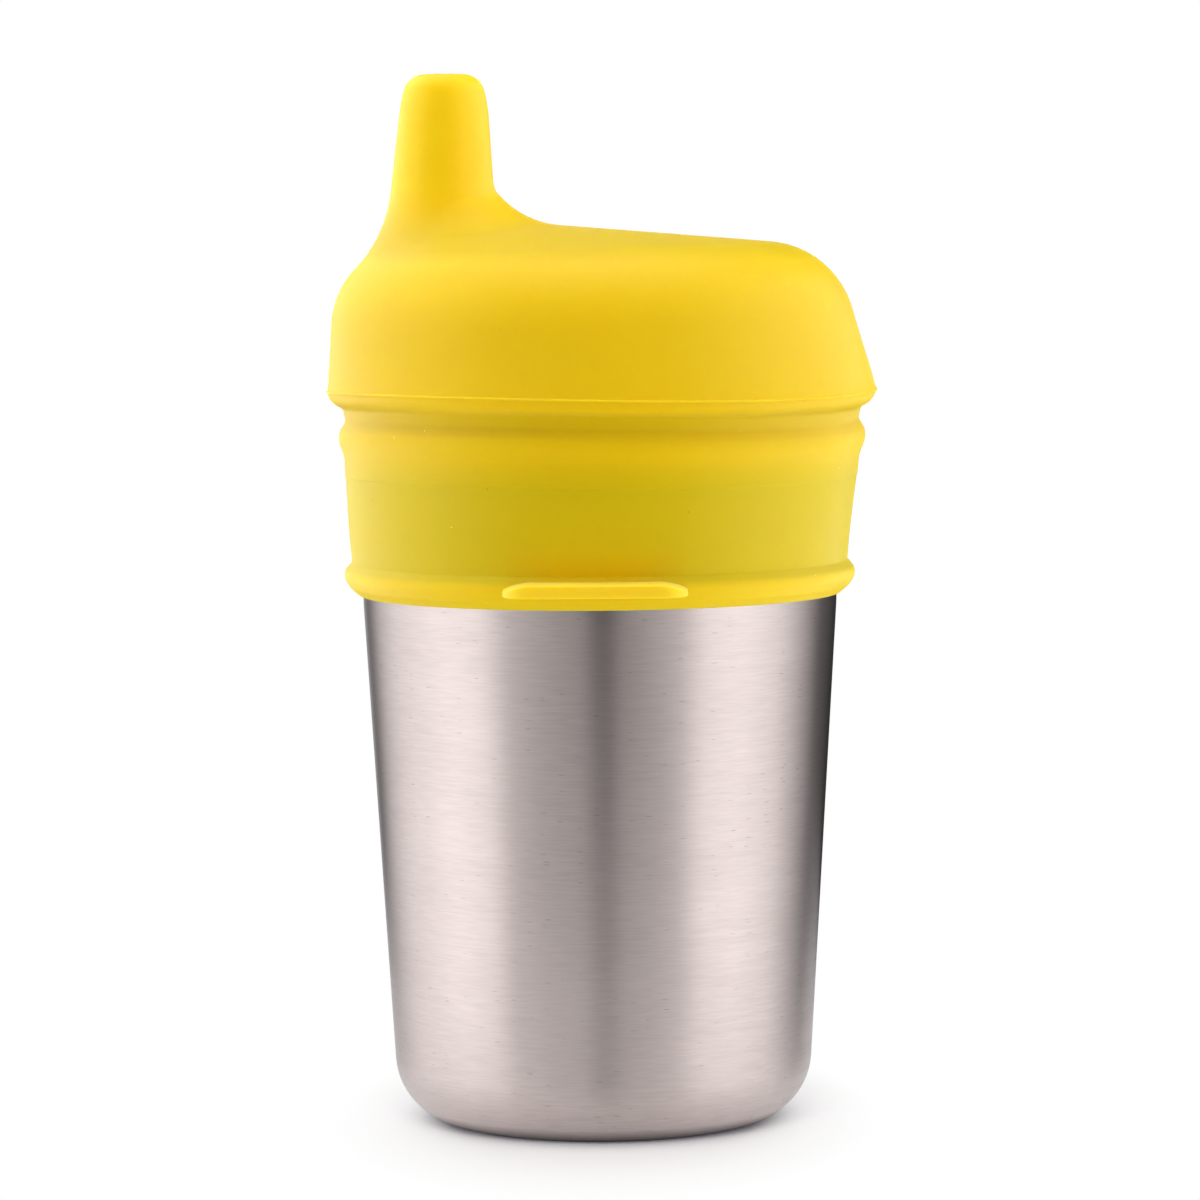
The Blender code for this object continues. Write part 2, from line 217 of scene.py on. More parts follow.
# Pull tabs on the lower bead
TAB_FRONT = lid_high.y
TAB_WIDTH = 23.6 * MM
TAB_THICKNESS = 1.75 * MM
TAB_RISE = 2.05 * MM
TAB_CORNER = 3.4 * MM
TAB_END_DROP = 0.8 * MM  # the top falls this much over each corner, by this power of the way into it
TAB_END_POWER = 1.4
TAB_TOP_PINCH = 0.30 * MM  # the top and the foot close in by this much at the very end
TAB_FOOT_PINCH = 0.12 * MM
TAB_PINCH_POWER = 8
TAB_EDGE_ROUND = 0.3 * MM
TAB_COLUMNS = 56

# The stretched lid leans a little towards +X, and its brim is warped up and down. Both grow from the
# foot to the full height, and fade from the ease to the end. These are heights above the seat.
SETTLE_LEAN = 0.45 * MM
SETTLE_WARP = 0.4 * MM
SETTLE_FOOT = -19.0 * MM
SETTLE_FULL = -4.0 * MM
SETTLE_EASE = 1.5 * MM
SETTLE_END = 13.0 * MM

# Fineness of the meshes
SEGMENTS = 160
ARC_ANGLE = math.radians(6)
FINE_ARC_ANGLE = math.radians(1)
TAB_ARC_ANGLE = math.radians(15)
LONGEST_STEP = 1.5 * MM
DOME_COUNTS = (14, 30, 14, 12, 12, 9)  # steps from corner to corner of the dome's outlines
LINER_COUNTS = (8, 16, 7, 7, 6, 5)  # and on the dome's inside
SMOOTH_ANGLE = math.radians(40)

# Radii that follow from the sizes above
BORE_RADIUS = COLLAR_RADIUS + FIT
SKIRT_RADIUS = BORE_RADIUS + SKIRT_WALL
BEAD_RADIUS = SKIRT_RADIUS + LOWER_BEAD_OUT
LEDGE_RADIUS = COLLAR_RADIUS - STEEL_WALL - LEDGE_OVERHANG

# Finishes. Patterns are sized in millimetres, as a length around the piece and a height up it.
NOISE_LOW = 0.3  # most of a noise lies between these two
NOISE_HIGH = 0.7
NOISE_DETAIL = 2.0
STEEL_COLOUR = (0.668, 0.581, 0.565, 1.0)
STEEL_ROUGHNESS = 0.36
STEEL_ROUGHNESS_CHANGE = 0.016
STEEL_ANISOTROPY = 1.0
STEEL_GRAIN_TURN = 0.25  # reflections spread across the brushing, which runs around the cup
STEEL_BUMP = 0.03
STEEL_BUMP_HEIGHT = 0.02 * MM
STEEL_CLOUD = (12.0, 9.0)
FINE_LINE = (3.5, 0.2)
FINE_LINE_DETAIL = 3.0
FINE_LINE_LOW = 0.35  # a line is darkest where its noise is this low
FINE_LINE_HIGH = 0.65  # and the steel is clear where it is this high
FINE_LINE_SHADE = 0.915
LONG_LINE = (30.0, 0.6)
SCRATCH_CELL = (2.2, 0.34)  # a cell holds one scratch at most
SCRATCH_CORE = 0.12  # in cells from its middle, it is deepest up to here
SCRATCH_END = 0.26  # and ends here
SCRATCH_PATCH = (9.0, 6.0)
SCRATCH_RARITY = 1.37  # the higher it is, the fewer cells hold a scratch
SCRATCH_FAINTEST = 0.4
SCRATCH_SHADE = 0.66
# Painted shade: the steel darkens towards its foot for the shadowed floor that it mirrors
# Each darkens the steel below its second height, down to its shade at the first, in millimetres
PAINTED_FOOT_SHADES = ((3.0, 8.0, 0.93), (0.5, 2.4, 0.18))

# Painted light: the spout is tinted lighter for the light that shines through it
PAINTED_LIT_SPOUT_YELLOW = (0.98, 0.64, 0.006, 1.0)
# Painted shade on the deck, deepest on its part away from the spout
PAINTED_DECK_SHADE_YELLOW = (0.69, 0.475, 0.001, 1.0)
PAINTED_FAR_DECK_SHADE_YELLOW = (0.63, 0.432, 0.0, 1.0)
DOME_YELLOW = (0.80, 0.545, 0.005, 1.0)
# Painted light: the lower bead is tinted lighter than the dome, for the light it catches
PAINTED_LIT_LOWER_BEAD_YELLOW = (0.82, 0.585, 0.007, 1.0)
UPPER_BEAD_YELLOW = (0.80, 0.555, 0.003, 1.0)
SKIRT_YELLOW = (0.67, 0.51, 0.003, 1.0)
# The groove is deeper for the steel behind it and for painted shade under the brim
GROOVE_STEEL_AND_SHADE_YELLOW = (0.70, 0.49, 0.003, 1.0)
# Painted light: the tabs are tinted lighter and paler than the dome, for the light they catch
PAINTED_LIT_TAB_YELLOW = (0.97, 0.67, 0.025, 1.0)
# Painted shade: the skirt just above each tab, shaded by the tab
PAINTED_TAB_SHADE_YELLOW = (0.75, 0.51, 0.0, 1.0)
# Painted shade: the skirt's deeper tint runs down over the lower bead's upward face
PAINTED_BEAD_TOP_SHADE_DROP = 0.75 * MM  # the skirt's tint is full from this far below the lower bead's top
UPPER_BEAD_TINT_START = 1.0 * MM  # the upper bead's tint is full from this far above the bead's foot
UPPER_BEAD_TINT_END = 0.8 * MM  # up to this far above its crest
SPOUT_TINT_RISE = 6.5 * MM  # the spout's tint is full from this far above its foot
# Where a tint starts and is full, or is still full and ends, in millimetres
TAB_START = (-0.3, 0.8)  # outwards from the bead
ABOVE_TAB_START = (-1.2, -0.4)  # up from the top of the bead
ABOVE_TAB_END = (0.0, 4.0)
ABOVE_TAB_SIDE = (5.0, 12.5)  # to each side of the tab's middle
FAR_DECK_START = (-0.1, 0.9)  # up from the far shoulder
FAR_DECK_SIDE = (-12.0, 8.0)  # along X
SILICONE_CLOUD = (14.0, 14.0)
SILICONE_CHANGE = 0.015
SILICONE_ROUGHNESS = 0.48
SILICONE_ROUGHNESS_CHANGE = 0.03
SILICONE_IOR = 1.25
SILICONE_SCATTER = 0.8
SILICONE_SCATTER_COLOUR = (1.0, 0.75, 0.15)
SILICONE_SCATTER_DEPTH = 1.2 * MM
SILICONE_GRAIN = (0.22, 0.22)
SILICONE_BUMP = 0.06
SILICONE_BUMP_HEIGHT = 0.03 * MM
LIGHT_DUST_COLOUR = (1.0, 0.84, 0.25, 1.0)
LIGHT_DUST_CELL = 4.2
DARK_DUST_COLOUR = (0.42, 0.30, 0.02, 1.0)
DARK_DUST_CELL = 5.3
DUST_RADIUS = 0.12
DUST_CORE = 0.6  # the share of that radius over which a speck is solid


# Nodes, materials and meshes


def add_node(tree, kind, settings=None, inputs=None):
    """A new node with its settings, and with each input set to a value or linked to a socket."""
    made = tree.nodes.new(kind)
    for name, value in (settings or {}).items():
        setattr(made, name, value)
    for name, value in (inputs or {}).items():
        if isinstance(value, bpy.types.NodeSocket):
            tree.links.new(value, made.inputs[name])
        else:
            made.inputs[name].default_value = value
    return made


def math_node(tree, operation, first, second):
    made = add_node(tree, "ShaderNodeMath", {"operation": operation}, {0: first, 1: second})
    return made.outputs[0]


def product(tree, first, *others):
    for other in others:
        first = math_node(tree, "MULTIPLY", first, other)
    return first


def times(tree, vector, factors):
    """A vector with each of its parts times its own factor."""
    made = add_node(tree, "ShaderNodeVectorMath", {"operation": "MULTIPLY"}, {0: vector, 1: factors})
    return made.outputs[0]


def scaled(tree, vector, factor):
    """A vector or a colour times one factor."""
    made = add_node(tree, "ShaderNodeVectorMath", {"operation": "SCALE"}, {0: vector, "Scale": factor})
    return made.outputs[0]


def length_of(tree, vector):
    made = add_node(tree, "ShaderNodeVectorMath", {"operation": "LENGTH"}, {0: vector})
    return made.outputs["Value"]


def part_of(tree, vector, axis):
    return add_node(tree, "ShaderNodeSeparateXYZ", inputs={0: vector}).outputs[axis]


def ranged(tree, value, from_low, from_high, to_low, to_high):
    """A value whose range from low to high is moved to another range, and which stays inside it."""
    ends = {"From Min": from_low, "From Max": from_high, "To Min": to_low, "To Max": to_high}
    return add_node(tree, "ShaderNodeMapRange", inputs={"Value": value, **ends}).outputs["Result"]


def new_material(name):
    """A material with no nodes yet, and its tree."""
    made = bpy.data.materials.new(name)
    made.use_nodes = True
    made.node_tree.nodes.clear()
    return made, made.node_tree


def finish_material(tree, shader):
    add_node(tree, "ShaderNodeOutputMaterial", inputs={"Surface": shader})


def add_mesh(name, bm):
    mesh = bpy.data.meshes.new(name)
    bm.to_mesh(mesh)
    bm.free()
    made = bpy.data.objects.new(name, mesh)
    bpy.context.scene.collection.objects.link(made)
    return made


# Camera and studio


def set_camera():
    data = bpy.data.cameras.new("camera")
    data.sensor_width = SENSOR_WIDTH
    data.lens = SENSOR_WIDTH * FOCAL_LENGTH / PHOTO_SIDE
    data.clip_start = CAMERA_CLIP
    camera = bpy.data.objects.new("camera", data)
    bpy.context.scene.collection.objects.link(camera)
    aim = Matrix.Translation((0.0, 0.0, AIM_HEIGHT)) @ Matrix.Rotation(CAMERA_AZIMUTH, 4, "Z")
    turned = Matrix.Rotation(math.pi / 2 - CAMERA_PITCH, 4, "X") @ Matrix.Rotation(CAMERA_ROLL, 4, "Z")
    camera.matrix_world = aim @ turned @ Matrix.Translation((0.0, 0.0, CAMERA_DISTANCE))
    bpy.context.scene.camera = camera


def sun(name, light, receivers):
    """A wide, soft light from far away. The steel receives none, and mirrors the studio wall instead."""
    data = bpy.data.lights.new(name, "SUN")
    data.energy = light.strength
    data.angle = math.radians(light.spread)
    lamp = bpy.data.objects.new(name, data)
    bpy.context.scene.collection.objects.link(lamp)
    tip = Matrix.Rotation(math.radians(90.0 - light.elevation), 4, "X")
    lamp.matrix_world = Matrix.Rotation(math.radians(light.azimuth), 4, "Z") @ tip
    lamp.visible_diffuse = light.shown_in != "gloss"
    lamp.visible_glossy = light.shown_in != "shading"
    lamp.light_linking.receiver_collection = receivers
    data.cycles.use_multiple_importance_sampling = False  # so that the studio wall hides no lamp


def seen_directly(tree):
    """1 for the rays that show the background: to the camera, and in metal or clear things."""
    path = add_node(tree, "ShaderNodeLightPath").outputs
    mirrored = math_node(tree, "MAXIMUM", path["Is Glossy Ray"], path["Is Transmission Ray"])
    return math_node(tree, "MAXIMUM", path["Is Camera Ray"], mirrored)


def background(tree, strength):
    made = add_node(tree, "ShaderNodeBackground", inputs={"Color": WHITE, "Strength": strength})
    return made.outputs[0]


def set_world():
    """A white background, and a weak fill for all other light."""
    world = bpy.data.worlds.new("studio")
    bpy.context.scene.world = world
    world.use_nodes = True
    tree = world.node_tree
    tree.nodes.clear()
    either = add_node(
        tree,
        "ShaderNodeMixShader",
        inputs={0: seen_directly(tree), 1: background(tree, WORLD_FILL), 2: background(tree, 1.0)},
    )
    add_node(tree, "ShaderNodeOutputWorld", inputs={"Surface": either.outputs[0]})


def staged_mesh(name, bm, surface):
    made = add_mesh(name, bm)
    made.data.materials.append(surface)
    return made


def light_on_floor():
    """How bright a white floor would be where nothing shades it."""
    falling = 0.0
    for light in LIGHTS.values():
        if light.falls_on == "floor":
            falling += max(light.strength * math.sin(math.radians(light.elevation)), 0.0)
    return falling / math.pi + WORLD_FILL


def floor_finish():
    """Paper that glows just enough to be white where it is lit, keeps the shadow, and fades to white."""
    surface, tree = new_material("white_floor")
    lit = light_on_floor()
    glow_colour = (*(FLOOR_WHITE - lit * part for part in FLOOR_COLOUR), 1.0)
    paper = add_node(tree, "ShaderNodeBsdfDiffuse", inputs={"Color": (*FLOOR_COLOUR, 1.0)})
    seen = seen_directly(tree)
    glow = add_node(tree, "ShaderNodeEmission", inputs={"Color": glow_colour, "Strength": seen})
    both = add_node(tree, "ShaderNodeAddShader", inputs={0: paper.outputs[0], 1: glow.outputs[0]})
    white = add_node(tree, "ShaderNodeEmission", inputs={"Strength": seen})
    place = add_node(tree, "ShaderNodeTexCoord").outputs["Object"]
    oval = (1.0 / SHADE_WIDTH, 1.0 / SHADE_DEPTH, 0.0)
    way_out = length_of(tree, times(tree, place, oval))
    faded = ranged(tree, way_out, SHADE_START, 1.0, 0.0, 1.0)
    shown = add_node(
        tree,
        "ShaderNodeMixShader",
        inputs={0: faded, 1: both.outputs[0], 2: white.outputs[0]},
    )
    finish_material(tree, shown.outputs[0])
    return surface


def white_floor():
    bm = bmesh.new()
    edge = []
    for turn in np.linspace(0.0, 2 * math.pi, FLOOR_POINTS, endpoint=False):
        away = math.sin(turn)
        reach = FLOOR_BACK if away > 0.0 else FLOOR_FRONT
        side = FLOOR_SIDE + FLOOR_FLARE * max(away, 0.0)
        edge.append(bm.verts.new((side * math.cos(turn), reach * away, FLOOR_RISE)))
    bm.faces.new(edge)
    floor = staged_mesh("floor", bm, floor_finish())
    floor.visible_shadow = False  # the bounce light stands for what the floor would send up
    floor.visible_diffuse = False
    return floor


def wall_finish():
    """A glow as bright as the level of each point."""
    surface, tree = new_material("studio_wall")
    level = add_node(tree, "ShaderNodeAttribute", {"attribute_name": "level"})
    light = add_node(tree, "ShaderNodeEmission", inputs={"Strength": level.outputs["Fac"]})
    finish_material(tree, light.outputs[0])
    surface.cycles.emission_sampling = "NONE"
    return surface


def studio_wall():
    """A round wall that only reflections show, with its softboxes, grey walls and flags."""
    bm = bmesh.new()
    brightness = bm.verts.layers.float.new("level")
    azimuths, levels = zip(*WALL_LEVELS)
    columns = []
    for azimuth in np.linspace(-180.0, 180.0, WALL_COLUMNS + 1):
        turn = math.radians(azimuth)
        across, away = WALL_RADIUS * math.sin(turn), -WALL_RADIUS * math.cos(turn)
        column = [bm.verts.new((across, away, height)) for height in (WALL_BOTTOM, WALL_TOP)]
        for vertex in column:
            vertex[brightness] = np.interp(azimuth, azimuths, levels)
        columns.append(column)
    ceiling = bm.verts.new((0.0, 0.0, CEILING_HEIGHT))
    ceiling[brightness] = CEILING_LEVEL
    for (low, high), (next_low, next_high) in zip(columns, columns[1:]):
        bm.faces.new((low, high, next_high, next_low))
        bm.faces.new((high, ceiling, next_high))
    wall = staged_mesh("studio_wall", bm, wall_finish())
    wall.visible_camera = False
    wall.visible_diffuse = False
    wall.visible_shadow = False


def set_studio(lid):
    set_world()
    lid.visible_glossy = False  # the brushed steel mirrors no yellow
    things = {"lid": lid, "floor": white_floor()}
    studio_wall()
    receivers = {}
    for name, thing in things.items():
        receivers[name] = bpy.data.collections.new("light_on_" + name)
        receivers[name].objects.link(thing)
    for name, light in LIGHTS.items():
        sun(name, light, receivers[light.falls_on])


# Outlines. Each is a list of corners (across, up, round), walked with the outside on the right hand.


def straights(corners):
    """The heading and the length of each straight of an outline."""
    steps = np.diff(np.array(corners)[:, :2], axis=0)
    lengths = np.linalg.norm(steps, axis=1)
    return steps / lengths[:, None], lengths


def turn_at(heading, i):
    """The angle between the straights before and after corner i, positive to the left."""
    before, after = heading[i - 1], heading[i]
    return math.atan2(before[0] * after[1] - before[1] * after[0], before @ after)


def round_reaches(corners, heading, lengths):
    """How far each round reaches from its corner, less where two rounds would overlap on a straight."""
    reach = np.zeros(len(corners))
    for i in range(1, len(corners) - 1):
        reach[i] = corners[i][2] * math.tan(abs(turn_at(heading, i)) / 2)
    share = np.ones(len(corners))
    for i, length in enumerate(lengths):
        fits = min(1.0, length / max(reach[i] + reach[i + 1], length))
        share[i] = min(share[i], fits)
        share[i + 1] = min(share[i + 1], fits)
    return reach * share


def rounded(corners, arc_angle=ARC_ANGLE):
    """The points of an outline with its rounds as arcs, and the index of each corner's middle point."""
    heading, lengths = straights(corners)
    reach = round_reaches(corners, heading, lengths)
    path = [np.array(corners[0][:2])]
    middles = [0]
    for i in range(1, len(corners) - 1):
        corner = np.array(corners[i][:2])
        turn = turn_at(heading, i)
        if reach[i] == 0.0:
            middles.append(len(path))
            path.append(corner)
            continue
        half_steps = math.ceil(abs(turn) / arc_angle / 2)
        middles.append(len(path) + half_steps)
        ahead = heading[i - 1]
        inward = math.copysign(1.0, turn) * np.array((-ahead[1], ahead[0]))
        radius = reach[i] / math.tan(abs(turn) / 2)
        centre = corner - ahead * reach[i] + inward * radius
        for step in range(2 * half_steps + 1):
            angle = abs(turn) * step / (2 * half_steps)
            path.append(centre + radius * (math.sin(angle) * ahead - math.cos(angle) * inward))
    middles.append(len(path))
    path.append(np.array(corners[-1][:2]))
    return np.array(path), middles


def inset(corners, wall):
    """An outline moved inwards by a wall. Its two end points move straight in."""
    heading, _ = straights(corners)
    inward = np.column_stack((-heading[:, 1], heading[:, 0]))
    moved = [(*(np.array(corners[0][:2]) + wall * inward[0]), 0.0)]
    for i in range(1, len(corners) - 1):
        turn = turn_at(heading, i)
        shift = inward[i - 1] + math.tan(turn / 2) * -heading[i - 1]
        tighter = math.copysign(wall, turn)
        point = np.array(corners[i][:2]) + wall * shift
        moved.append((*point, max(corners[i][2] - tighter, 0.0)))
    moved.append((*(np.array(corners[-1][:2]) + wall * inward[-1]), 0.0))
    return moved


def walked_along(path):
    """The distance walked to each point of a path."""
    return np.concatenate(([0.0], np.cumsum(np.linalg.norm(np.diff(path, axis=0), axis=1))))


def at_places(path, places):
    walked = walked_along(path)
    return np.column_stack([np.interp(places, walked, path[:, axis]) for axis in range(2)])


def stations(corners, counts):
    """Points along an outline, evenly spaced between the middles of its corners."""
    path, middles = rounded(corners, FINE_ARC_ANGLE)
    marks = walked_along(path)[middles]
    places = [marks[0]]
    for start, end, count in zip(marks, marks[1:], counts):
        places.extend(np.linspace(start, end, count + 1)[1:])
    return at_places(path, places)


def spaced(path):
    """A path with points added where two of them are far apart."""
    walked = walked_along(path)
    places = [0.0]
    for start, end in zip(walked, walked[1:]):
        count = max(math.ceil((end - start) / LONGEST_STEP), 1)
        places.extend(np.linspace(start, end, count + 1)[1:])
    return at_places(path, places)


# Skins. Each is a list of rings with as many points as each other, or with one point where it closes.


def ring(middle, half_length, half_width, level, tilt=0.0, lift=0.0):
    """A closed ring that is an oval from above. It tilts along X, and lifts at its two ends along Y."""
    turn = np.linspace(0.0, 2 * math.pi, SEGMENTS, endpoint=False)
    along, aside = np.cos(turn), np.sin(turn)
    heights = level + tilt * along + lift * aside**2
    return np.column_stack((middle + half_length * along, half_width * aside, heights))


def turned_rings(path):
    """The rings of a turned piece, one for each point of its outline."""
    rings = []
    for across, up in path:
        if across > 0.0:
            rings.append(ring(0.0, across, across, up))
        else:
            rings.append(np.array([(0.0, 0.0, up)]))
    return rings


def skin(rings):
    """A closed mesh through the rings. A ring of one point closes its end, others get a flat cap."""
    bm = bmesh.new()
    loops = [[bm.verts.new(point) for point in points] for points in rings]
    for one, other in zip(loops, loops[1:]):
        count = max(len(one), len(other))
        for k in range(count):
            after = (k + 1) % count
            there = (one[k % len(one)], one[after % len(one)])
            back = (other[after % len(other)], other[k % len(other)])
            bm.faces.new(list(dict.fromkeys(there + back)))
    for end in (loops[0], loops[-1]):
        if len(end) > 1:
            bm.faces.new(end)
    bmesh.ops.recalc_face_normals(bm, faces=bm.faces)
    return bm


def smooth(piece):
    piece.data.shade_smooth()
    piece.data.set_sharp_from_angle(angle=SMOOTH_ANGLE)


def shape_with(target, bm, operation):
    """Joins a helper shape to the target, or cuts it out, for good."""
    helper = add_mesh("helper", bm)
    step = target.modifiers.new("shape", "BOOLEAN")
    step.operation = operation
    step.solver = "EXACT"
    step.object = helper
    evaluated = target.evaluated_get(bpy.context.evaluated_depsgraph_get())
    shaped = bpy.data.meshes.new_from_object(evaluated)
    target.modifiers.clear()
    target.data = shaped
    bpy.data.objects.remove(helper, do_unlink=True)


# Steel cup


def cup_outside():
    """The cup's outside from the middle of its base to its rim."""
    return [
        (0.0, RECESS_DEPTH, 0.0),
        (RECESS_RADIUS, RECESS_DEPTH, RECESS_DEPTH),
        (RECESS_RADIUS + RECESS_SLOPE, 0.0, RECESS_DEPTH),
        (BASE_RADIUS, 0.0, CORNER_ROUND),
        (COLLAR_RADIUS, RIM_HEIGHT - COLLAR_LENGTH, COLLAR_LENGTH),
        (COLLAR_RADIUS, RIM_HEIGHT, 0.0),
    ]


def cup_piece():
    outside = cup_outside()
    inside = inset(outside, STEEL_WALL)[::-1]
    rim_out = (*outside[-1][:2], RIM_ROUND)
    rim_in = (*inside[0][:2], RIM_ROUND)
    path, _ = rounded([*outside[:-1], rim_out, rim_in, *inside[1:]])
    return add_mesh("brushed_cup", skin(turned_rings(spaced(path))))


# Silicone lid


def between(one, other, height):
    """The point at a height on the line between two points of an outline."""
    share = (height - one[1]) / (other[1] - one[1])
    return one[0] + share * (other[0] - one[0])


def skirt_outside():
    """The outside of the lid from the skirt's lower edge up to the foot of the brim's parting line."""
    foot = -SKIRT_DEPTH
    groove_foot = -GROOVE_TOP_DROP - GROOVE_WIDTH
    lip = (BRIM_RADIUS - LIP_INSET, BRIM_RISE - LIP_HEIGHT)
    skirt_foot = (SKIRT_RADIUS, foot + LOWER_BEAD_TOP)
    bead_foot = (SKIRT_RADIUS + UPPER_BEAD_FOOT_OUT, -UPPER_BEAD_FOOT_DROP)
    step_low, step_high = -STEP_DROP - STEP_WIDTH, -STEP_DROP
    ridge_foot = BRIM_RISE - RIDGE_HALF
    return [
        (BORE_RADIUS, foot, 0.0),
        (BORE_RADIUS + SKIRT_EDGE, foot, EDGE_ROUND),
        (SKIRT_RADIUS + BEAD_UNDERSIDE_OUT, foot + BEAD_UNDERSIDE, BEAD_UNDERSIDE_ROUND),
        (BEAD_RADIUS, foot + LOWER_BEAD_CREST, LOWER_BEAD_ROUND),
        (*skirt_foot, LOWER_BEAD_TOP_ROUND),
        (between(skirt_foot, bead_foot, step_low), step_low, STEP_WIDTH),
        (between(skirt_foot, bead_foot, step_high) + STEP_OUT, step_high, STEP_WIDTH),
        (*bead_foot, UPPER_BEAD_FOOT_ROUND),
        (SKIRT_RADIUS + UPPER_BEAD_OUT, -UPPER_BEAD_DROP, UPPER_BEAD_ROUND),
        (SKIRT_RADIUS + GROOVE_OUT, groove_foot, GROOVE_FOOT_ROUND),
        (SKIRT_RADIUS + GROOVE_TOP_OUT, -GROOVE_TOP_DROP, GROOVE_TOP_ROUND),
        (*lip, LIP_ROUND),
        (between(lip, (BRIM_RADIUS, BRIM_RISE), ridge_foot), ridge_foot, 0.0),
    ]


def split_corner(before, corner, after):
    """A rounded corner as two corners, each with half of its turn, that keep the same round."""
    point = np.array(corner[:2])
    sides = [np.array(neighbour[:2]) - point for neighbour in (before, after)]
    sides = [side / np.linalg.norm(side) for side in sides]
    turn = math.pi - math.acos(np.dot(*sides))
    shift = corner[2] * (math.tan(turn / 2) - math.tan(turn / 4))
    return [(*(point + shift * side), corner[2]) for side in sides]


def dome_outline(shoulder, foot, tip, middle):
    """One side of the dome and spout, from the brim over the shoulder and the spout's foot to the tip.

    The foot has two corners. Where one is given, it is split in two.
    """
    ease = (tip, TIP_HEIGHT - TIP_EASE_DEPTH, TIP_EASE_ROUND)
    foot_corners = foot if len(foot) == 2 else split_corner(shoulder, foot[0], ease)
    return [
        (BRIM_RADIUS, BRIM_RISE, 0.0),
        shoulder,
        *foot_corners,
        ease,
        (tip - TIP_EASE_IN, TIP_HEIGHT, TIP_ROUND),
        (middle, TIP_HEIGHT, 0.0),
    ]


def dome_outlines():
    """The outlines on the spout's side, where across points to -X, on the far side and on the flanks."""
    foot_half = SPOUT_FOOT_THICKNESS / 2
    tip_half = TIP_THICKNESS / 2
    spout_back = SPOUT_FOOT_CENTRE + foot_half - SPOUT_BACK_IN
    flank_foot_rise = (SPOUT_FOOT_RISE + DECK_RISE) / 2
    spout_side = dome_outline(
        (BRIM_RADIUS - SPOUT_SHOULDER_INSET, BRIM_RISE + SPOUT_SHOULDER_RISE, SPOUT_SHOULDER_ROUND),
        [(foot_half - SPOUT_FOOT_CENTRE, BRIM_RISE + SPOUT_FOOT_RISE, SPOUT_FOOT_ROUND)],
        tip_half - TIP_CENTRE,
        -TIP_CENTRE,
    )
    far_side = dome_outline(
        (BRIM_RADIUS - FAR_SHOULDER_INSET, BRIM_RISE + FAR_SHOULDER_RISE, FAR_SHOULDER_ROUND),
        [
            (DECK_END, BRIM_RISE + DECK_RISE, DECK_ROUND),
            (spout_back, BRIM_RISE + SPOUT_BACK_RISE, SPOUT_BACK_ROUND),
        ],
        TIP_CENTRE + tip_half,
        TIP_CENTRE,
    )
    flank = dome_outline(
        (BRIM_RADIUS - SIDE_SHOULDER_INSET, BRIM_RISE + SIDE_SHOULDER_RISE, SIDE_SHOULDER_ROUND),
        [(SPOUT_FOOT_WIDTH / 2, BRIM_RISE + flank_foot_rise, FLANK_FOOT_ROUND)],
        TIP_WIDTH / 2,
        0.0,
    )
    return spout_side, far_side, flank


def starting_at(corners, height):
    """An outline cut off where its first straight reaches a height."""
    return [(between(corners[0], corners[1], height), height, 0.0), *corners[1:]]


def dome_rings(outlines, counts):
    """Rings from the brim to the tip, each through one station on every outline."""
    spout_side, far_side, flank = (stations(outline, counts) for outline in outlines)
    rings = []
    for (near, near_up), (far, far_up), (aside, aside_up) in zip(spout_side, far_side, flank):
        middle = (far - near) / 2
        half_length = (far + near) / 2
        level = (near_up + far_up) / 2
        tilt = (far_up - near_up) / 2
        rings.append(ring(middle, half_length, aside, level, tilt, aside_up - level))
    rings[-1] = np.array([(TIP_CENTRE, 0.0, spout_side[-1][1])])
    return rings


def eased(height, start, end):
    """0 at the start and 1 at the end, smooth at both."""
    share = np.clip((height - start) / (end - start), 0.0, 1.0)
    return share * share * (3.0 - 2.0 * share)


def settled(points):
    """Points on the outside of the lid, moved as the stretched silicone has settled."""
    heights = points[:, 2]
    share = eased(heights, SETTLE_FOOT, SETTLE_FULL) * (1.0 - eased(heights, SETTLE_EASE, SETTLE_END))
    around = np.arctan2(points[:, 1], points[:, 0])
    moved = points.copy()
    moved[:, 0] += SETTLE_LEAN * share
    moved[:, 2] += SETTLE_WARP * share * np.sin(2.0 * around)
    return moved


def lid_rings():
    """All the lid's rings, from the tip's inside down to the skirt and up the outside to the tip."""
    outlines = dome_outlines()
    inside = [starting_at(inset(outline, DOME_WALL), LEDGE_THICKNESS) for outline in outlines]
    liner = dome_rings(inside, LINER_COUNTS)[::-1]
    ledge = turned_rings([(LEDGE_RADIUS, LEDGE_THICKNESS), (LEDGE_RADIUS, 0.0), (BORE_RADIUS, 0.0)])
    skirt_path, _ = rounded(skirt_outside())
    crest = BRIM_RADIUS + RIDGE_OUT
    ridge_levels = (BRIM_RISE - RIDGE_CREST_HALF, BRIM_RISE + RIDGE_CREST_HALF)
    ridge = turned_rings([(crest, level) for level in ridge_levels])
    outside = [starting_at(outline, BRIM_RISE + RIDGE_HALF) for outline in outlines]
    outer = [*turned_rings(spaced(skirt_path)), *ridge, *dome_rings(outside, DOME_COUNTS)]
    return [*liner, *ledge, *(settled(points) for points in outer)]


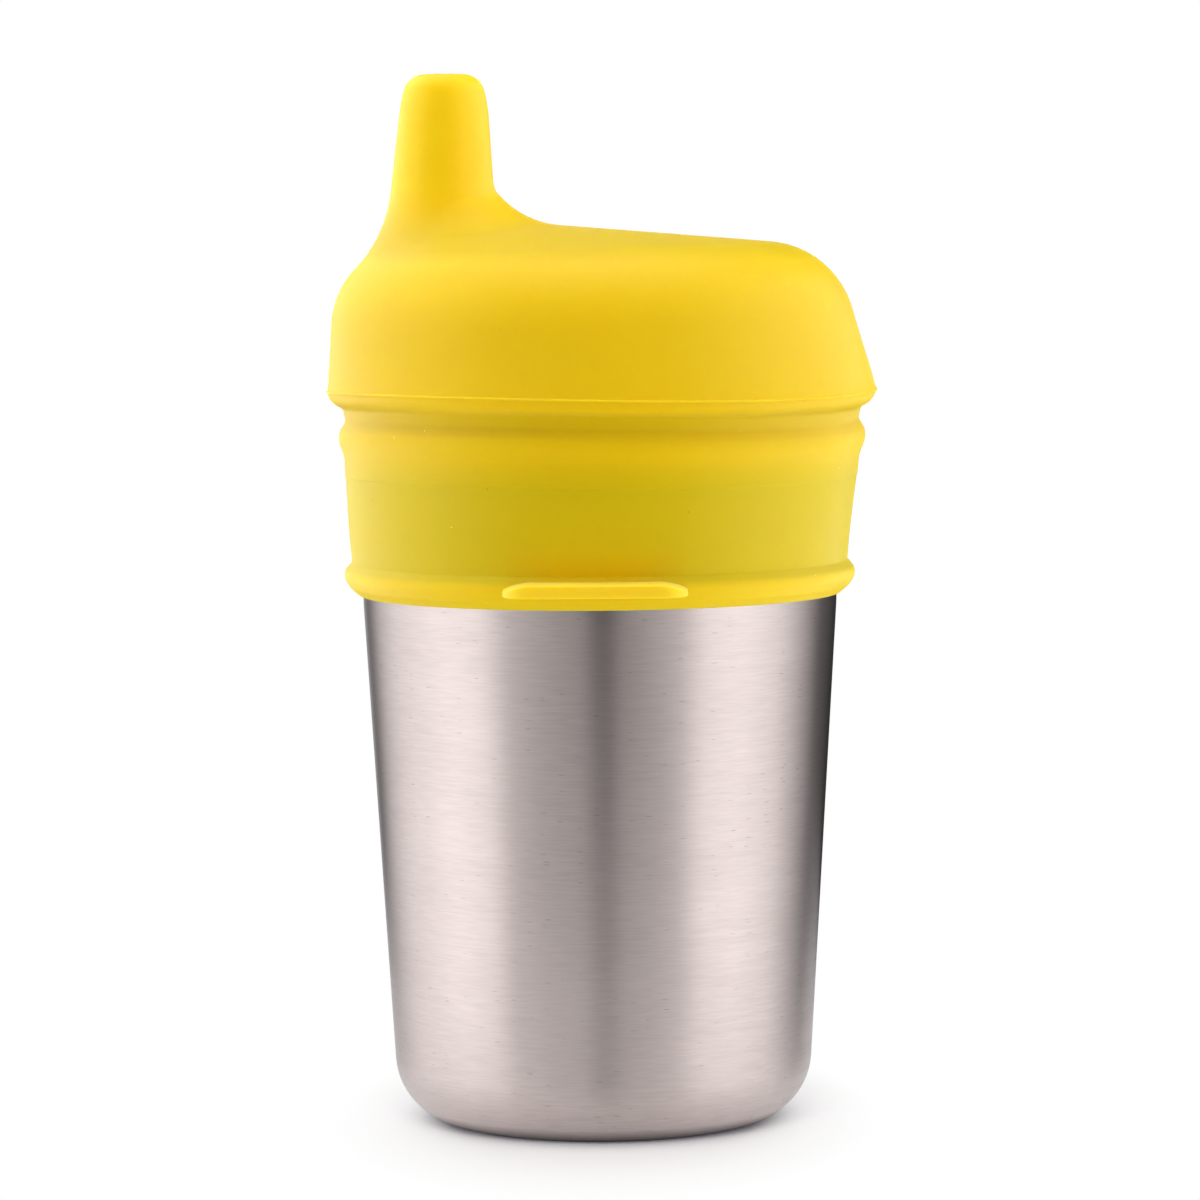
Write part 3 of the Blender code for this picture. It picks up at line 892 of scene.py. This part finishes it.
def tab_rings(side):
    """Sections through a pull tab from end to end. Its root is an arc inside the skirt's wall."""
    root_radius = BORE_RADIUS + SKIRT_WALL / 2
    low = TAB_RISE - SKIRT_DEPTH
    half = TAB_WIDTH / 2
    rings = []
    for step in range(TAB_COLUMNS + 1):
        across = -half * math.cos(math.pi * step / TAB_COLUMNS)
        into_corner = max(abs(across) - (half - TAB_CORNER), 0.0) / TAB_CORNER
        fall = 1.0 - math.sqrt(max(1.0 - into_corner**2, 0.0))
        root = math.sqrt(root_radius**2 - across**2)
        front = TAB_FRONT - TAB_CORNER * fall
        pinched = into_corner**TAB_PINCH_POWER
        drop = TAB_END_DROP * into_corner**TAB_END_POWER
        foot = low + TAB_FOOT_PINCH * pinched
        top = low + TAB_THICKNESS - drop - TAB_TOP_PINCH * pinched
        corners = [
            (root, foot, 0.0),
            (front, foot, TAB_EDGE_ROUND),
            (front, top, TAB_EDGE_ROUND),
            (root, top, 0.0),
        ]
        section, _ = rounded(corners, TAB_ARC_ANGLE)
        rings.append([(across, side * out, up) for out, up in section])
    return rings


def slot_body():
    """A cutter for the drinking slot through the top of the spout."""
    bm = bmesh.new()
    bmesh.ops.create_cube(bm, size=1.0)
    bmesh.ops.scale(bm, vec=(SLOT_WIDTH, SLOT_LENGTH, CUTTER_LENGTH), verts=bm.verts)
    bmesh.ops.translate(bm, vec=(TIP_CENTRE, 0.0, TIP_HEIGHT), verts=bm.verts)
    return bm


def vent_body():
    """A cutter for the round air hole through the deck."""
    _, far_side, _ = dome_outlines()
    across = BRIM_RADIUS - VENT_INSET
    (shoulder, shoulder_up, _), (deck_end, deck_end_up, _) = far_side[1:3]
    share = (shoulder - across) / (shoulder - deck_end)
    deck_up = shoulder_up + share * (deck_end_up - shoulder_up)
    bm = bmesh.new()
    bmesh.ops.create_cone(
        bm,
        cap_ends=True,
        segments=VENT_SIDES,
        radius1=VENT_RADIUS,
        radius2=VENT_RADIUS,
        depth=CUTTER_LENGTH,
    )
    bmesh.ops.translate(bm, vec=(across, 0.0, deck_up), verts=bm.verts)
    return bm


def lid_piece():
    lid = add_mesh("spout_lid", skin(lid_rings()))
    shape_with(lid, skin(tab_rings(-1.0)), "UNION")
    shape_with(lid, skin(tab_rings(1.0)), "UNION")
    shape_with(lid, slot_body(), "DIFFERENCE")
    shape_with(lid, vent_body(), "DIFFERENCE")
    lid.data.transform(Matrix.Translation((0.0, 0.0, SEAT_HEIGHT)))
    return lid


# Finishes


def millimetres(tree):
    """The point on the piece in millimetres, in the piece's own frame."""
    place = add_node(tree, "ShaderNodeTexCoord").outputs["Object"]
    return scaled(tree, place, 1.0 / MM)


def stretched(tree, point, along, up):
    """The point in units of a pattern's length around the piece and its height up it."""
    return times(tree, point, (1.0 / along, 1.0 / along, 1.0 / up))


def noise(tree, point, size, detail=NOISE_DETAIL):
    place = stretched(tree, point, *size)
    made = add_node(tree, "ShaderNodeTexNoise", inputs={"Vector": place, "Scale": 1.0, "Detail": detail})
    return made.outputs["Fac"]


def cells(tree, point, size):
    """Cells of a size. Distance counts in cells from a cell's own middle, and Color is random."""
    place = stretched(tree, point, *size)
    inputs = {"Vector": place, "Scale": 1.0, "Randomness": 1.0}
    return add_node(tree, "ShaderNodeTexVoronoi", inputs=inputs).outputs


def varied(tree, pattern, middle, change):
    """A number around its middle that follows a noise up and down."""
    return ranged(tree, pattern, NOISE_LOW, NOISE_HIGH, middle - change, middle + change)


def mixed(tree, share, one, other):
    """One colour where the share is 0, and the other where it is 1."""
    # The node's inputs 6 and 7 and its output 2 are its colours
    made = add_node(tree, "ShaderNodeMix", {"data_type": "RGBA"}, {0: share, 6: one, 7: other})
    return made.outputs[2]


def shaded(colour, share):
    """A colour times a share."""
    return (*(share * part for part in colour[:3]), 1.0)


def bumped(tree, height, strength, distance):
    inputs = {"Height": height, "Strength": strength, "Distance": distance}
    return add_node(tree, "ShaderNodeBump", inputs=inputs).outputs[0]


def scratches(tree, point):
    """The depth of short scratches along the brushing, here and there, and 0 elsewhere."""
    found = cells(tree, point, SCRATCH_CELL)
    near = ranged(tree, found["Distance"], SCRATCH_CORE, SCRATCH_END, 1.0, 0.0)
    chance = add_node(tree, "ShaderNodeSeparateColor", inputs={"Color": found["Color"]}).outputs
    patch = noise(tree, point, SCRATCH_PATCH)
    chosen = math_node(tree, "GREATER_THAN", math_node(tree, "ADD", chance[0], patch), SCRATCH_RARITY)
    depth = ranged(tree, chance[1], 0.0, 1.0, SCRATCH_FAINTEST, 1.0)
    return product(tree, near, depth, chosen)


def painted_foot_shade(tree, up):
    """The steel's darkening towards its foot: painted shade for the shadowed floor that the foot
    mirrors.
    """
    shades = [ranged(tree, up, low, high, shade, 1.0) for low, high, shade in PAINTED_FOOT_SHADES]
    return product(tree, *shades)


def brushed_steel():
    surface, tree = new_material("brushed_steel")
    point = millimetres(tree)
    fine_lines = noise(tree, point, FINE_LINE, FINE_LINE_DETAIL)
    long_lines = noise(tree, point, LONG_LINE)
    cloud = noise(tree, point, STEEL_CLOUD)
    scratch = scratches(tree, point)
    line_share = ranged(tree, fine_lines, FINE_LINE_LOW, FINE_LINE_HIGH, 0.0, 1.0)
    lined = mixed(tree, line_share, shaded(STEEL_COLOUR, FINE_LINE_SHADE), STEEL_COLOUR)
    marked = mixed(tree, scratch, lined, shaded(STEEL_COLOUR, SCRATCH_SHADE))
    line_roughness = varied(tree, long_lines, STEEL_ROUGHNESS, STEEL_ROUGHNESS_CHANGE)
    cloud_roughness = varied(tree, cloud, 0.0, STEEL_ROUGHNESS_CHANGE)
    height = math_node(tree, "SUBTRACT", fine_lines, scratch)
    tangent = add_node(tree, "ShaderNodeTangent", {"direction_type": "RADIAL", "axis": "Z"})
    shader = add_node(
        tree,
        "ShaderNodeBsdfPrincipled",
        inputs={
            "Base Color": scaled(tree, marked, painted_foot_shade(tree, part_of(tree, point, "Z"))),
            "Metallic": 1.0,
            "Roughness": math_node(tree, "ADD", line_roughness, cloud_roughness),
            "Anisotropic": STEEL_ANISOTROPY,
            "Anisotropic Rotation": STEEL_GRAIN_TURN,
            "Tangent": tangent.outputs[0],
            "Normal": bumped(tree, height, STEEL_BUMP, STEEL_BUMP_HEIGHT),
        },
    )
    finish_material(tree, shader.outputs[0])
    return surface


def height_tint(tree, up):
    """The silicone's tint by height. It is deeper where it is thin over the steel, and painted shade and
    light change it elsewhere.
    """
    brim = SKIRT_DEPTH + BRIM_RISE
    # Painted shade deepens the groove, the lower bead's top and the deck; painted light lightens the
    # lower bead and the spout
    stops = (
        (0.0, PAINTED_LIT_LOWER_BEAD_YELLOW),
        (LOWER_BEAD_CREST, PAINTED_LIT_LOWER_BEAD_YELLOW),
        (LOWER_BEAD_TOP - PAINTED_BEAD_TOP_SHADE_DROP, SKIRT_YELLOW),
        (SKIRT_DEPTH - STEP_DROP - STEP_WIDTH, SKIRT_YELLOW),
        (SKIRT_DEPTH - UPPER_BEAD_FOOT_DROP + UPPER_BEAD_TINT_START, UPPER_BEAD_YELLOW),
        (SKIRT_DEPTH - UPPER_BEAD_DROP + UPPER_BEAD_TINT_END, UPPER_BEAD_YELLOW),
        (SKIRT_DEPTH - GROOVE_TOP_DROP - GROOVE_WIDTH, GROOVE_STEEL_AND_SHADE_YELLOW),
        (SKIRT_DEPTH - GROOVE_TOP_DROP, GROOVE_STEEL_AND_SHADE_YELLOW),
        (brim - LIP_HEIGHT, DOME_YELLOW),
        (brim + SIDE_SHOULDER_RISE, DOME_YELLOW),
        (brim + FAR_SHOULDER_RISE, PAINTED_DECK_SHADE_YELLOW),
        (brim + SPOUT_FOOT_RISE, PAINTED_DECK_SHADE_YELLOW),
        (brim + SPOUT_FOOT_RISE + SPOUT_TINT_RISE, PAINTED_LIT_SPOUT_YELLOW),
    )
    top = stops[-1][0]
    share = ranged(tree, up, lid_low.z / MM, (lid_low.z + top) / MM, 0.0, 1.0)
    ramp = add_node(tree, "ShaderNodeValToRGB", inputs={0: share})
    bands = ramp.color_ramp.elements
    while len(bands) < len(stops):
        bands.new(0.5)
    for band, (rise, colour) in zip(bands, stops):
        band.position = rise / top
        band.color = colour
    return ramp.outputs[0]


def fading_in(tree, value, start, limits):
    """0 before the first limit and 1 after the second, both counted from a start."""
    return ranged(tree, value, start + limits[0], start + limits[1], 0.0, 1.0)


def fading_out(tree, value, start, limits):
    """1 before the first limit and 0 after the second, both counted from a start."""
    return ranged(tree, value, start + limits[0], start + limits[1], 1.0, 0.0)


def painted_tab_shade(tree, point, up):
    """1 just above the middle of each pull tab, where shade from the tab is painted on the skirt, and 0
    away from it.
    """
    aside = math_node(tree, "ABSOLUTE", part_of(tree, point, "X"), 0.0)
    bead_top = (lid_low.z + LOWER_BEAD_TOP) / MM
    near = fading_out(tree, aside, 0.0, ABOVE_TAB_SIDE)
    above = fading_in(tree, up, bead_top, ABOVE_TAB_START)
    low = fading_out(tree, up, bead_top, ABOVE_TAB_END)
    return product(tree, near, above, low)


def painted_far_deck_shade(tree, point, up):
    """1 on the part of the deck away from the spout, where deeper shade is painted, and 0 elsewhere."""
    shoulder = (SEAT_HEIGHT + BRIM_RISE + FAR_SHOULDER_RISE) / MM
    high = fading_in(tree, up, shoulder, FAR_DECK_START)
    return product(tree, high, fading_in(tree, part_of(tree, point, "X"), 0.0, FAR_DECK_SIDE))


def on_tabs(tree, point, up):
    """1 on the pull tabs, and 0 elsewhere."""
    from_axis = length_of(tree, times(tree, point, (1.0, 1.0, 0.0)))
    outside = fading_in(tree, from_axis, BEAD_RADIUS / MM, TAB_START)
    low = math_node(tree, "LESS_THAN", up, (lid_low.z + LOWER_BEAD_TOP) / MM)
    return product(tree, outside, low)


def specks(tree, point, cell):
    """1 on tiny specks of dust, at most one in each cell, and 0 elsewhere."""
    radius = DUST_RADIUS / cell
    distance = cells(tree, point, (cell, cell))["Distance"]
    return ranged(tree, distance, DUST_CORE * radius, radius, 1.0, 0.0)


def yellow_silicone():
    surface, tree = new_material("yellow_silicone")
    point = millimetres(tree)
    up = part_of(tree, point, "Z")
    # Painted shade above the tabs and on the far deck, and painted light on the tabs
    tabs_shaded = mixed(tree, painted_tab_shade(tree, point, up), height_tint(tree, up), PAINTED_TAB_SHADE_YELLOW)
    deck_shaded = mixed(tree, painted_far_deck_shade(tree, point, up), tabs_shaded, PAINTED_FAR_DECK_SHADE_YELLOW)
    tinted = mixed(tree, on_tabs(tree, point, up), deck_shaded, PAINTED_LIT_TAB_YELLOW)
    cloud = noise(tree, point, SILICONE_CLOUD)
    clouded = add_node(
        tree,
        "ShaderNodeHueSaturation",
        inputs={"Value": varied(tree, cloud, 1.0, SILICONE_CHANGE), "Color": tinted},
    )
    light_dust = mixed(tree, specks(tree, point, LIGHT_DUST_CELL), clouded.outputs[0], LIGHT_DUST_COLOUR)
    dusty = mixed(tree, specks(tree, point, DARK_DUST_CELL), light_dust, DARK_DUST_COLOUR)
    grain = noise(tree, point, SILICONE_GRAIN)
    shader = add_node(
        tree,
        "ShaderNodeBsdfPrincipled",
        inputs={
            "Base Color": dusty,
            "Roughness": varied(tree, cloud, SILICONE_ROUGHNESS, SILICONE_ROUGHNESS_CHANGE),
            "IOR": SILICONE_IOR,
            "Subsurface Weight": SILICONE_SCATTER,
            "Subsurface Radius": SILICONE_SCATTER_COLOUR,
            "Subsurface Scale": SILICONE_SCATTER_DEPTH,
            "Normal": bumped(tree, grain, SILICONE_BUMP, SILICONE_BUMP_HEIGHT),
        },
    )
    finish_material(tree, shader.outputs[0])
    return surface


def dress(piece, body, node, surface):
    """Gives a piece its finish, puts it on its body, and hides the imported node that it stands for."""
    smooth(piece)
    piece.data.materials.clear()
    piece.data.materials.append(surface)
    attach(piece, body)
    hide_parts(node)


bpy.context.scene.view_settings.view_transform = "Standard"
set_camera()
cup = cup_piece()
dress(cup, "cup", "steel_cup", brushed_steel())
lid = lid_piece()
dress(lid, "lid", "silicone_lid", yellow_silicone())
set_studio(lid)
